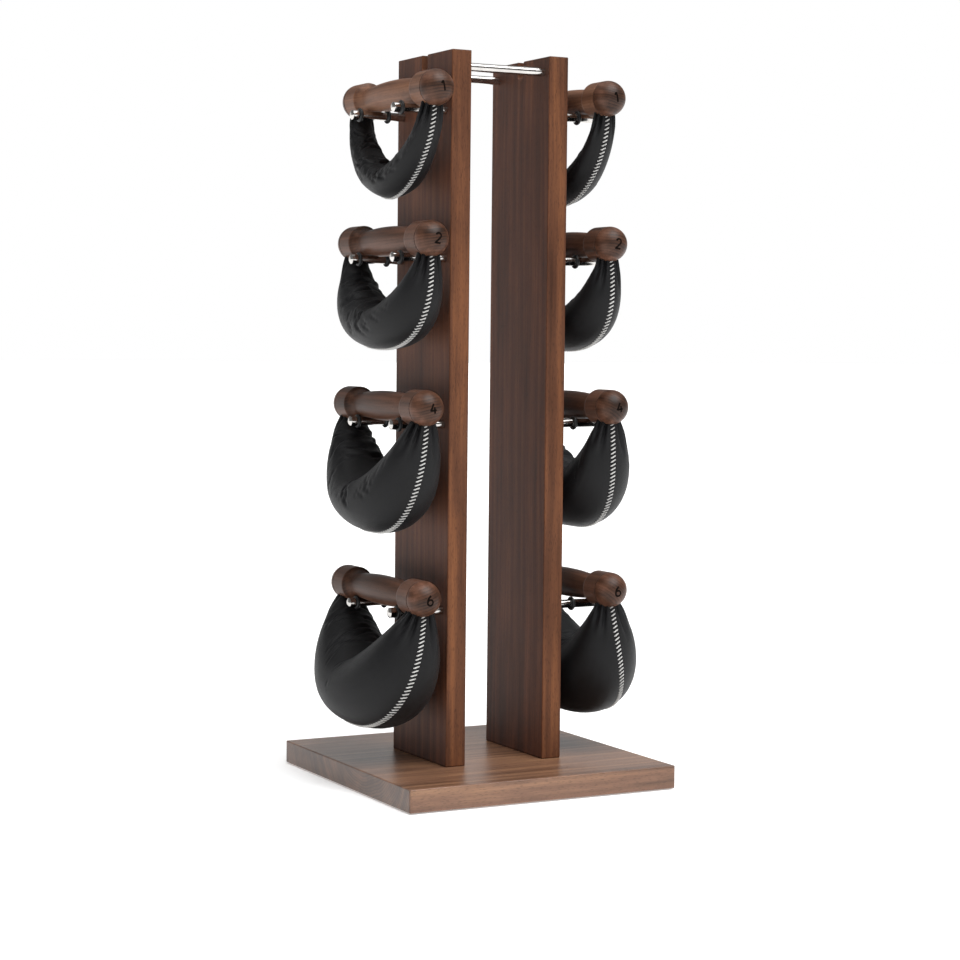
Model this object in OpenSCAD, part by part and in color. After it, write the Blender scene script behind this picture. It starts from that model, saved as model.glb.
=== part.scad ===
// Walnut tower rack with eight leather swing dumbbells.
// The uprights stand on a square base. Each dumbbell hangs by its turned handle on two steel pegs.
// X runs across the uprights, Y from front to back, Z up from the floor.

/* [Base board] */
// Width of the base board, along X
base_w = 345; // [300:1:420]
// Depth of the base board, along Y
base_d = 345; // [300:1:420]
// Thickness of the base board
base_t = 26.5; // [20:0.5:40]
// Radius of the base board's upright corners
base_corner_r = 3; // [1:0.5:10]
// Gap under the base board, made by the rubber pads
pad_stand = 1.5; // [0.5:0.5:4]
// Diameter of a rubber pad
pad_d = 22; // [14:1:30]
// Depth of the recess that holds a rubber pad
pad_recess = 2; // [1:0.5:4]
// Distance of a pad's centre from the board's sides
pad_inset = 30; // [20:1:60]

/* [Uprights] */
// Height of the rack, from the floor to the top of the uprights
rack_h = 850; // [830:5:1100]
// Width of an upright, along Y
board_w = 140; // [136:1:200]
// Thickness of an upright, along X
board_t = 25; // [22:0.5:40]
// Clear space between the two uprights
board_gap = 102; // [70:1:180]
// Radius that eases the long edges of the boards
edge_ease = 1.5; // [0.5:0.25:3]
// Width of the slot in the top of an upright
slot_w = 15; // [8:1:30]
// Depth of the slot in the top of an upright
slot_depth = 22; // [10:1:40]

/* [Tie rods] */
// Diameter of the two steel rods that tie the uprights together
rod_d = 10; // [6:0.5:14]
// Distance from the front rod to the rear rod
rod_spread = 110; // [60:1:116]
// Depth of a rod's axis below the top of the uprights
rod_drop = 17.5; // [12:0.5:40]
// How far each rod goes into an upright
rod_bite = 15; // [8:1:18]

/* [Pegs] */
// Diameter of a peg
peg_d = 10; // [8:0.5:12]
// Distance from a front peg to its rear peg
peg_spread = 110; // [90:1:116]
// How far a peg goes into the upright
peg_bite = 18; // [8:1:20]
// How far a peg stands out of the upright
peg_reach = 69; // [68:0.5:90]
// Diameter of the bead at a peg's end
bead_d = 12; // [11:0.5:16]
// Length of the bead at a peg's end
bead_len = 9.5; // [8:0.5:12]
// Distance from the upright to the inner rubber ring
inner_ring_x = 21; // [12:0.5:24]
// Distance from the upright to the outer rubber ring
outer_ring_x = 57; // [55:0.5:62]
// Thickness of a rubber ring's section
ring_wire = 4; // [2:0.5:5]
// Depth of the groove that holds a rubber ring
ring_groove = 0.8; // [0.4:0.1:1.2]

/* [Tiers] */
// Height of each tier's pegs above the floor, top tier first
tier_z = [782, 614, 424, 209]; // [150:1:1000]
// Distance from the upright to each tier's handle, top tier first
seat_x = [36, 41, 45.5, 47]; // [34:0.5:48]

/* [Handles] */
// Diameter of the knob at each end of a handle
knob_d = 41; // [36:0.5:50]
// Length of the straight part of a knob
knob_len = 25; // [24:0.5:40]
// Distance between the knobs, along the grip
grip_len = 150; // [140:1:180]
// Diameter of the grip at its middle
grip_d = 34.5; // [30:0.5:38]
// Diameter of the grip where it is thinnest
waist_d = 27.5; // [24:0.5:30]
// Radius of the hollow that joins the grip to the knob
cove_r = 13; // [10:0.5:16]
// Chamfer on each side of the joint between handle and cap
joint_chamfer = 0.6; // [0.2:0.1:1]
// Diameter of the round tenon on a cap
tenon_d = 13; // [10:0.5:15]
// Length of the round tenon on a cap
tenon_len = 8; // [5:0.5:12]
// Diameter of the double-ended screw that holds a cap
screw_d = 5; // [4:0.5:6]
// Length of the double-ended screw
screw_len = 28; // [24:1:32]

/* [Bags] */
// Depth of each bag below the handle's knobs, top tier first
bag_depth = [101, 110, 129, 143]; // [90:1:150]
// Depth of the hand opening at its middle, top tier first
bag_eye = [63, 52, 54, 47]; // [40:1:80]
// Thickness of each bag at its bottom, top tier first
bag_thick = [58, 80, 104, 106]; // [44:1:106]
// How far each bag's bottom hangs out past its handle, top tier first
bag_lean = [5, 8, 9, 12]; // [0:1:12]
// How far each bag swells past its necks, top tier first
bag_swell = [6, 4, 7, 10]; // [0:1:14]
// Diameter of the neck that goes up into a knob
neck_d = 23; // [18:0.5:26]
// Distance from the neck's centre to the joint of the cap
neck_inset = 5.5; // [4:0.5:8]
// Thickness of the leather
leather_t = 1.8; // [1:0.1:3]

/* [Fixings] */
// Diameter of the screws that hold the uprights
bolt_d = 8; // [6:1:10]
// How far a screw goes up into an upright
bolt_bite = 24; // [16:1:40]
// Distance from the front screw to the rear screw
bolt_spread = 84; // [60:1:110]
// Outside diameter of the threaded insert
insert_d = 12; // [10:1:15]
// Length of the threaded insert
insert_len = 20; // [12:1:30]
// Diameter of the wooden dowels that locate the uprights
dowel_d = 8; // [6:1:10]
// Length of a dowel
dowel_len = 34; // [24:1:50]
// Distance from the front dowel to the rear dowel
dowel_spread = 40; // [24:1:60]

/* [Clearances] */
// Gap round a part that is glued or pressed into wood
fit_gap = 0.05; // [0.05:0.05:0.3]
// Gap round the screws, pads and necks
loose_gap = 0.5; // [0.3:0.1:1]
// Gap left between a handle and the pegs that carry it
seat_gap = 0.3; // [0.3:0.1:1]
// Gap between the leather and its filling
fill_gap = 0.3; // [0.2:0.1:1]

/* [Hidden] */
TIERS = ["top", "upper", "lower", "bottom"];
SIDES = ["left", "right"];
RACK = ["base_board", "base_pads", "left_upright", "right_upright", "front_tie_rod", "rear_tie_rod",
        "inner_peg_rings", "outer_peg_rings", "base_screws", "thread_inserts", "locating_dowels"];
$fn = 96;
cut = 1;

WALNUT = "#6b4a3a";
DARK_WALNUT = "#4a3830";
STEEL = "#c9c9cc";
RUBBER = "#1c1c1c";
LEATHER = "#26272a";
IRON = "#5a5a5c";
BEECH = "#c8a878";
BRASS = "#b59a4c";

base_top = pad_stand + base_t;
board_h = rack_h - base_top;
face_x = board_gap / 2 + board_t;
rod_z = rack_h - rod_drop;
knob_r = knob_d / 2;
waist_r = waist_d / 2;
cove_start = grip_len / 2 - cove_r;
// The grip's side is one arc, from the middle of the grip to the start of the cove.
grip_rise = (grip_d - waist_d) / 2;
grip_arc_r = (pow(cove_start, 2) + pow(grip_rise, 2)) / (2 * grip_rise);
peg_half = peg_spread / 2;
function grip_radius(y) = grip_d / 2 - grip_arc_r + sqrt(pow(grip_arc_r, 2) - pow(y, 2));
// The cove turns through this angle before it meets the side of the knob.
cove_turn = acos(1 - (knob_r - waist_r) / cove_r);
outline_steps = 16;
cove_steps = 8;
// Radius of the grip where it lies on the pegs
rest_r = grip_radius(peg_half);
handle_rise = peg_d / 2 + rest_r + seat_gap;
joint_y = grip_len / 2 + knob_len;
neck_y = joint_y - neck_inset;
neck_r = neck_d / 2;
// The neck runs straight from its top, inside the knob, to the bag's shoulder just inside the knob's skin.
neck_top = 10;
shoulder_z = knob_r - loose_gap * 3;
ring_major = peg_d / 2 - ring_groove + ring_wire / 2;
screw_bore = screw_d + 2 * fit_gap;
bolt_head_d = 2 * bolt_d;
bolt_head_h = bolt_d / 2;
bolt_clear_d = bolt_d + 2 * loose_gap;
// The bead's end is a dome of this share of its diameter.
nose_share = 0.7;

// Shape of a bag: powers of its outer rim, inner rim and thickness, steps along it and round it
outer_power = 2.1;
inner_power = 1.5;
thick_power = 0.75;
bag_step = 12;
bag_sides = 14;
// The filling stops this many degrees short of the necks.
fill_stop = 12;

// A board with its lowest corner at the origin and every edge rounded
module eased_board(size, r_up, r_edge) {
    intersection() {
        linear_extrude(size.z) rounded_rect(size.x, size.y, r_up);
        translate([0, size.y, 0]) rotate([90, 0, 0]) linear_extrude(size.y) rounded_rect(size.x, size.z, r_edge);
        rotate([90, 0, 90]) linear_extrude(size.x) rounded_rect(size.y, size.z, r_edge);
    }
}

module rounded_rect(w, h, r) {
    translate([r, 0]) square([w - 2 * r, h]);
    translate([0, r]) square([w, h - 2 * r]);
    for (x = [r, w - r], y = [r, h - r]) translate([x, y]) circle(r, $fn = 48);
}

module along_x(d, length) {
    rotate([0, 90, 0]) cylinder(d = d, h = length);
}

module along_y(d, length) {
    rotate([-90, 0, 0]) cylinder(d = d, h = length);
}

// Puts its children at each fixing along the bottom of both uprights.
module at_uprights(spread) {
    for (s = [-1, 1], y = [-1, 1])
        translate([s * (board_gap + board_t) / 2, y * spread / 2, base_top]) children();
}

module at_pads() {
    for (x = [-1, 1], y = [-1, 1])
        translate([x * (base_w / 2 - pad_inset), y * (base_d / 2 - pad_inset), 0]) children();
}

module base_board() {
    color(WALNUT) difference() {
        translate([-base_w / 2, -base_d / 2, pad_stand])
            eased_board([base_w, base_d, base_t], base_corner_r, edge_ease);
        at_pads() translate([0, 0, pad_stand - cut]) cylinder(d = pad_d + 2 * fit_gap, h = pad_recess + cut);
        at_uprights(bolt_spread) {
            translate([0, 0, -base_t - cut]) cylinder(d = bolt_clear_d, h = base_t + 2 * cut);
            translate([0, 0, -base_t - cut])
                cylinder(d = bolt_head_d + 2 * loose_gap, h = bolt_head_h + loose_gap + cut);
        }
        at_uprights(dowel_spread)
            translate([0, 0, -dowel_len / 2]) cylinder(d = dowel_d + 2 * fit_gap, h = dowel_len / 2 + cut);
    }
}

module base_pads() {
    color(RUBBER) at_pads() cylinder(d = pad_d, h = pad_stand + pad_recess);
}

// One upright, for the side s = -1 on the left or 1 on the right
module upright(s) {
    color(DARK_WALNUT) difference() {
        translate([s * face_x - (s + 1) / 2 * board_t, -board_w / 2, base_top])
            eased_board([board_t, board_w, board_h], edge_ease, edge_ease);
        translate([s * (face_x - board_t / 2), 0, rack_h]) {
            translate([-board_t, -slot_w / 2, -slot_depth + slot_w / 2])
                cube([2 * board_t, slot_w, slot_depth]);
            translate([-board_t, 0, -slot_depth + slot_w / 2]) along_x(slot_w, 2 * board_t);
        }
        for (y = [-1, 1])
            translate([s * (face_x - board_t) - (1 - s) / 2 * rod_bite - (s + 1) / 2 * cut, y * rod_spread / 2, rod_z])
                along_x(rod_d + 2 * fit_gap, rod_bite + cut);
        for (z = tier_z, y = [-1, 1])
            translate([s * face_x - (s + 1) / 2 * peg_bite - (1 - s) / 2 * cut, y * peg_half, z])
                along_x(peg_d + 2 * fit_gap, peg_bite + cut);
        at_uprights(bolt_spread)
            translate([0, 0, -cut]) cylinder(d = insert_d + 2 * fit_gap, h = bolt_bite + loose_gap + cut);
        at_uprights(dowel_spread)
            translate([0, 0, -cut]) cylinder(d = dowel_d + 2 * fit_gap, h = dowel_len / 2 + cut);
    }
}

module left_upright() {
    upright(-1);
}

module right_upright() {
    upright(1);
}

module tie_rod(y) {
    color(STEEL) translate([-board_gap / 2 - rod_bite, y, rod_z]) along_x(rod_d, board_gap + 2 * rod_bite);
}

module front_tie_rod() {
    tie_rod(-rod_spread / 2);
}

module rear_tie_rod() {
    tie_rod(rod_spread / 2);
}

// A peg along +X, with the upright's face at x = 0
module peg() {
    bead_start = peg_reach - bead_len;
    nose_r = nose_share * bead_d;
    rotate([0, 90, 0]) difference() {
        rotate_extrude() {
            translate([0, -peg_bite]) square([peg_d / 2, peg_bite + bead_start + cut]);
            intersection() {
                translate([0, bead_start]) square([bead_d / 2, bead_len]);
                translate([0, peg_reach - nose_r]) circle(nose_r);
            }
        }
        for (x = [inner_ring_x, outer_ring_x]) translate([0, 0, x - ring_wire / 2]) difference() {
            cylinder(d = peg_d + cut, h = ring_wire);
            translate([0, 0, -cut]) cylinder(d = peg_d - 2 * ring_groove, h = ring_wire + 2 * cut);
        }
    }
}

// Puts its children at the four pegs of the tier at height z, turned to point away from the uprights.
module at_pegs(z) {
    for (s = [0, 1], y = [-1, 1])
        mirror([s, 0, 0]) translate([face_x, y * peg_half, z]) children();
}

module pegs(t) {
    color(STEEL) at_pegs(tier_z[t]) peg();
}

module peg_rings(x) {
    color(RUBBER) for (z = tier_z) at_pegs(z)
        translate([x, 0, 0]) rotate([0, 90, 0]) rotate_extrude() translate([ring_major, 0]) circle(d = ring_wire, $fn = 32);
}

module inner_peg_rings() {
    peg_rings(inner_ring_x);
}

module outer_peg_rings() {
    peg_rings(outer_ring_x);
}

module base_screws() {
    color(STEEL) at_uprights(bolt_spread) {
        translate([0, 0, -base_t + loose_gap]) cylinder(d = bolt_head_d, h = bolt_head_h);
        translate([0, 0, -base_t + loose_gap]) cylinder(d = bolt_d - 2 * fit_gap, h = base_t + bolt_bite - loose_gap);
    }
}

module thread_inserts() {
    color(BRASS) at_uprights(bolt_spread) difference() {
        cylinder(d = insert_d, h = insert_len);
        translate([0, 0, -cut]) cylinder(d = bolt_d, h = insert_len + 2 * cut);
    }
}

module locating_dowels() {
    color(BEECH) at_uprights(dowel_spread) translate([0, 0, -dowel_len / 2 + loose_gap])
        cylinder(d = dowel_d, h = dowel_len - 2 * loose_gap);
}

// Moves a dumbbell from its own frame, with the handle's axis on Y and +X away from the rack, to its pegs.
module place_dumbbell(s, t) {
    mirror([1 - s, 0, 0]) translate([face_x + seat_x[t], 0, tier_z[t] + handle_rise]) children();
}

// The round pocket that takes the neck of the bag, at the end e = -1 or 1
module neck_pocket(e) {
    translate([0, e * neck_y, -2 * knob_r]) cylinder(d = neck_d + 2 * loose_gap, h = 2 * knob_r - neck_top + loose_gap);
}

module handle() {
    color(WALNUT) difference() {
        rotate([-90, 0, 0]) rotate_extrude() handle_profile();
        for (e = [-1, 1]) {
            neck_pocket(e);
            mirror([0, (1 - e) / 2, 0]) {
                translate([0, joint_y - tenon_len - loose_gap, 0]) along_y(tenon_d + 2 * fit_gap, tenon_len + loose_gap + cut);
                translate([0, joint_y - screw_len / 2 - loose_gap, 0]) along_y(screw_bore, screw_len);
            }
        }
    }
}

// The handle's outline from its middle to the joint of the cap, as [radius, distance along the axis]
half_outline = concat(
    [for (i = [0 : outline_steps]) let (y = cove_start * i / outline_steps) [grip_radius(y), y]],
    [for (i = [1 : cove_steps]) let (a = cove_turn * i / cove_steps)
        [waist_r + cove_r * (1 - cos(a)), cove_start + cove_r * sin(a)]],
    [[knob_r, joint_y - joint_chamfer], [knob_r - joint_chamfer, joint_y]]);

module handle_profile() {
    count = len(half_outline);
    polygon(concat(
        [[0, -joint_y]],
        [for (i = [count - 1 : -1 : 1]) [half_outline[i].x, -half_outline[i].y]],
        half_outline,
        [[0, joint_y]]));
}

module end_caps() {
    color(WALNUT) for (e = [0, 1]) mirror([0, e, 0]) difference() {
        translate([0, joint_y, 0]) rotate([-90, 0, 0]) union() {
            rotate_extrude() difference() {
                intersection() {
                    circle(knob_r);
                    square(knob_r);
                }
                polygon([[knob_r - joint_chamfer, -1], [knob_r - joint_chamfer, 0], [knob_r, joint_chamfer], [knob_r + 1, -1]]);
            }
            translate([0, 0, -tenon_len]) cylinder(d = tenon_d, h = tenon_len + 1);
        }
        neck_pocket(1);
        translate([0, joint_y - tenon_len - cut, 0]) along_y(screw_bore, screw_len / 2 + tenon_len + loose_gap + cut);
    }
}

module cap_screws() {
    color(STEEL) for (e = [0, 1]) mirror([0, e, 0])
        translate([0, joint_y - screw_len / 2, 0]) along_y(screw_d, screw_len);
}

// A point of a bag's rim, as [y, z], at the angle f from straight down; the necks are at -90 and 90
function rim(f, half_w, depth, power, swell) = [
    sign(sin(f)) * (half_w * pow(abs(sin(f)), 2 / power) + 2 * swell * abs(sin(f) * cos(f))),
    -shoulder_z - depth * pow(abs(cos(f)), 2 / power)];

// One ring of points round bag t at the angle f, drawn in by inset and lifted by lift
function bag_ring(t, f, inset, lift) =
    let (
        low = rim(f, neck_y + neck_r, bag_depth[t], outer_power, bag_swell[t]),
        high = rim(f, neck_y - neck_r, bag_eye[t], inner_power, 0),
        middle = (low + high) / 2,
        reach = (low - high) / 2,
        radial = reach * (1 - inset / norm(reach)),
        half_t = neck_r + (bag_thick[t] / 2 - neck_r) * pow(abs(cos(f)), thick_power) - inset)
    [for (k = [0 : bag_sides - 1])
        let (a = 360 * k / bag_sides, p = middle + radial * cos(a))
        [bag_lean[t] * abs(cos(f)) + half_t * sin(a), p.x, p.y + lift]];

// The faces of the band between ring a and ring b
function band(a, b, flip) = [for (k = [0 : bag_sides - 1])
    let (
        n = (k + 1) % bag_sides,
        quad = [a * bag_sides + k, a * bag_sides + n, b * bag_sides + n, b * bag_sides + k])
    each flip ? [[quad[0], quad[2], quad[1]], [quad[0], quad[3], quad[2]]]
              : [[quad[0], quad[1], quad[2]], [quad[0], quad[2], quad[3]]]];

function flat_list(rings) = [for (r = rings) each r];

// The leather, a tube open at both necks
module bag(t) {
    lift = shoulder_z - neck_top;
    angles = [for (f = [-90 : bag_step : 90]) f];
    count = len(angles) + 2;
    shell = function (inset) concat(
        [bag_ring(t, -90, inset, lift)],
        [for (f = angles) bag_ring(t, f, inset, 0)],
        [bag_ring(t, 90, inset, lift)]);
    color(LEATHER) polyhedron(
        points = flat_list(concat(shell(0), shell(leather_t))),
        faces = concat(
            [for (i = [0 : count - 2]) each band(i, i + 1, false)],
            [for (i = [0 : count - 2]) each band(count + i, count + i + 1, true)],
            band(0, count, true),
            band(count - 1, 2 * count - 1, false)),
        convexity = 6);
}

// The iron shot that fills the leather
module shot(t) {
    last = 90 - fill_stop;
    steps = ceil(2 * last / bag_step);
    rings = [for (i = [0 : steps]) bag_ring(t, -last + 2 * last * i / steps, leather_t + fill_gap, 0)];
    ends = [for (k = [0 : bag_sides - 1]) k];
    color(IRON) polyhedron(
        points = flat_list(rings),
        faces = concat(
            [for (i = [0 : steps - 1]) each band(i, i + 1, false)],
            [[for (k = ends) bag_sides - 1 - k]],
            [[for (k = ends) steps * bag_sides + k]]),
        convexity = 6);
}

base_board();
base_pads();
left_upright();
right_upright();
front_tie_rod();
rear_tie_rod();
inner_peg_rings();
outer_peg_rings();
base_screws();
thread_inserts();
locating_dowels();
for (t = [0 : len(TIERS) - 1])
    pegs(t);
for (s = [0, 1], t = [0 : len(TIERS) - 1]) {
    name = str(SIDES[s], "_", TIERS[t]);
    place_dumbbell(s, t) handle();
    place_dumbbell(s, t) end_caps();
    place_dumbbell(s, t) cap_screws();
    place_dumbbell(s, t) bag(t);
    place_dumbbell(s, t) shot(t);
}
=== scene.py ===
import math
import bpy
import numpy as np
from mathutils import Matrix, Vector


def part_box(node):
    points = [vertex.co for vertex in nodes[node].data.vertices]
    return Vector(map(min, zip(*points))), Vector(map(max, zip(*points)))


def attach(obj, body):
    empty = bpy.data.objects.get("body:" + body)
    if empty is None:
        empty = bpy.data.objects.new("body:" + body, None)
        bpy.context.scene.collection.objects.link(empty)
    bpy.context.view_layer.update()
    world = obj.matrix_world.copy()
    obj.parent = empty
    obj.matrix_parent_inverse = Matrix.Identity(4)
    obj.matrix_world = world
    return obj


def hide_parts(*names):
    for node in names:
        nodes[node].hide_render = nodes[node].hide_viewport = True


# Walnut tower rack with eight leather swing dumbbells.
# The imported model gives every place. This script adds the finishes and the pieces that need a finer
# surface. Lengths are in metres, as Blender has them, and mm turns millimetres into metres.
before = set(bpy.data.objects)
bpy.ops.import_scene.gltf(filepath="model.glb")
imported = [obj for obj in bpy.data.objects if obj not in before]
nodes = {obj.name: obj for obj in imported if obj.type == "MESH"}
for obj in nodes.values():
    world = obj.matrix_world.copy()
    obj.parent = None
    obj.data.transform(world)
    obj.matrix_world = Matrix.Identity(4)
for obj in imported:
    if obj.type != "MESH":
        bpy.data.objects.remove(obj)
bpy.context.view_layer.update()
scene = bpy.context.scene
mm = 0.001
tiers = ("top", "upper", "lower", "bottom")
sides = ("left", "right")


# sRGB hex to linear RGBA
def toLinear(hexColour):
    channels = [int(hexColour[i:i + 2], 16) / 255 for i in (1, 3, 5)]
    return [c / 12.92 if c <= 0.04045 else ((c + 0.055) / 1.055) ** 2.4 for c in channels] + [1.0]


# Adds one node; inputs maps a socket's name or number to a value, or to the socket or node that feeds it. The
# stops of a ramp are hex colours, or numbers for greys.
def addNode(tree, kind, inputs=None, stops=None, **settings):
    node = tree.nodes.new("ShaderNode" + kind)
    for key, value in settings.items():
        setattr(node, key, value)
    for key, value in (inputs or {}).items():
        if isinstance(value, bpy.types.Node):
            value = value.outputs[0]
        if isinstance(value, bpy.types.NodeSocket):
            tree.links.new(value, node.inputs[key])
        else:
            node.inputs[key].default_value = value
    if stops:
        ramp = node.color_ramp.elements
        while len(ramp) < len(stops):
            ramp.new(0.5)
        for element, (place, colour) in zip(ramp, stops):
            element.position = place
            element.color = toLinear(colour) if isinstance(colour, str) else (colour, colour, colour, 1)
    return node


def newMaterial(name):
    material = bpy.data.materials.new(name)
    material.use_nodes = True
    material.node_tree.nodes.clear()
    return material, material.node_tree


def finishMaterial(tree, shader):
    addNode(tree, "OutputMaterial", {"Surface": shader})


# Quads between the rows of a grid; the last column joins the first when the grid is closed round.
def gridQuads(rows, columns, closed=True):
    span = columns if closed else columns - 1
    row, column = np.meshgrid(np.arange(rows - 1), np.arange(span), indexing="ij")
    here = row * columns + column
    after = row * columns + (column + 1) % columns
    return np.stack([here, after, after + columns, here + columns], -1).reshape(-1, 4)


# A closed tube of rings with a point at each end: the end points follow the ring points.
def tubeShell(rings):
    rows, columns = rings.shape[:2]
    points = np.concatenate([rings.reshape(-1, 3), rings[0].mean(0)[None], rings[-1].mean(0)[None]])
    around = np.arange(columns)
    after = (around + 1) % columns
    last = (rows - 1) * columns
    start = np.stack([np.full(columns, rows * columns), after, around], -1)
    end = np.stack([np.full(columns, rows * columns + 1), last + around, last + after], -1)
    return points, gridQuads(rows, columns), np.concatenate([start, end])


# Six times the signed volume inside a closed shell; it is below zero when the faces point inwards.
def signedVolume(points, quads, triangles):
    split = np.concatenate([quads[:, [0, 1, 2]], quads[:, [0, 2, 3]], triangles])
    a, b, c = (points[split[:, k]] for k in range(3))
    return np.einsum("ij,ij->", a - points.mean(0), np.cross(b - points.mean(0), c - points.mean(0)))


# Joins several (points, quads, triangles) shells into one.
def joinShells(shells):
    starts = np.cumsum([0] + [len(shell[0]) for shell in shells[:-1]])
    points = np.concatenate([shell[0] for shell in shells])
    quads = np.concatenate([shell[1] + start for shell, start in zip(shells, starts)])
    triangles = np.concatenate([shell[2] + start for shell, start in zip(shells, starts)])
    return points, quads, triangles


# Turns the faces of a shell round when they point inwards.
def outwardShell(points, quads, triangles):
    if signedVolume(points, quads, triangles) < 0:
        return points, quads[:, ::-1], triangles[:, ::-1]
    return points, quads, triangles


# Puts a shell into a mesh object whose place is in its vertices.
def makeMesh(name, shell, sharpAngle=None):
    points, quads, triangles = shell
    mesh = bpy.data.meshes.new(name)
    mesh.vertices.add(len(points))
    mesh.vertices.foreach_set("co", points.astype(np.float32).ravel())
    corners = np.concatenate([quads.ravel(), triangles.ravel()]).astype(np.int32)
    starts = np.concatenate([np.arange(len(quads)) * 4, quads.size + np.arange(len(triangles)) * 3])
    mesh.loops.add(len(corners))
    mesh.loops.foreach_set("vertex_index", corners)
    mesh.polygons.add(len(starts))
    mesh.polygons.foreach_set("loop_start", starts.astype(np.int32))
    mesh.polygons.foreach_set("use_smooth", np.ones(len(starts), bool))
    mesh.update(calc_edges=True)
    if sharpAngle:
        mesh.set_sharp_from_angle(angle=math.radians(sharpAngle))
    piece = bpy.data.objects.new(name, mesh)
    scene.collection.objects.link(piece)
    return piece


# Gives a piece its finish and the body it moves with, and hides the imported nodes that it stands for.
def finishPiece(piece, material, body, replaced=()):
    piece.data.materials.append(material)
    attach(piece, body)
    if replaced:
        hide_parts(*replaced)


# A profile of (radius, distance along the axis) turned about Y, closed to a point on the axis at both ends.
def turned(profile, segments):
    angle = np.linspace(0, 2 * np.pi, segments, endpoint=False)
    radius, along = profile[1:-1, :1], profile[1:-1, 1:]
    rings = np.stack([radius * np.cos(angle), along + 0 * angle, radius * np.sin(angle)], -1)
    points, quads, triangles = tubeShell(rings)
    points[-2] = (0, profile[0, 1], 0)
    points[-1] = (0, profile[-1, 1], 0)
    return outwardShell(points, quads, triangles)


# Points of a circle's arc, from one angle to another in degrees, as (radius, along) pairs
def arc(centre, radius, start, end, count):
    angle = np.radians(np.linspace(start, end, count))
    return np.stack([centre[0] + radius * np.cos(angle), centre[1] + radius * np.sin(angle)], -1)


# 0 below 0 and 1 above 1, and 3 x squared less 2 x cubed between
def smoothStep(x):
    x = np.clip(x, 0, 1)
    return x * x * (3 - 2 * x)


# Colours of American walnut from the dark late wood to the pale early wood, and the sizes of its figure
walnut = {
    "upright": ("#2d1a10", "#593423", "#7f4e34"),
    # lighter colours for faces looking along Y: partly the edge grain's own tone, partly painted light
    "uprightEdgeAndPaintedLight": ("#361e13", "#613c28", "#8e5a38"),
    "base": ("#432c1c", "#7a5742", "#a37a5a"),
    "turned": ("#2a1a12", "#523628", "#745040"),
    "turnedPale": ("#41291d", "#724f3c", "#936a51"),
    "ringPitch": 3.4 * mm,     # width of one year's growth
    "poreLength": 5.0 * mm,
    "poreWidth": 0.55 * mm,    # the real pores are about 0.2 mm; they are drawn wider so that they show
    "fibreWidth": 0.45 * mm,
    "stretch": 50,             # how much longer than wide the fibres are
    "sway": 30 * mm,           # how far the rings wander from round
    "middle": 0.5,             # what each layer of noise varies about
    "stops": (0.18, 0.5, 0.82),  # where the three colours stand in the mixture
    "pore": "#1a110d",
}
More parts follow.
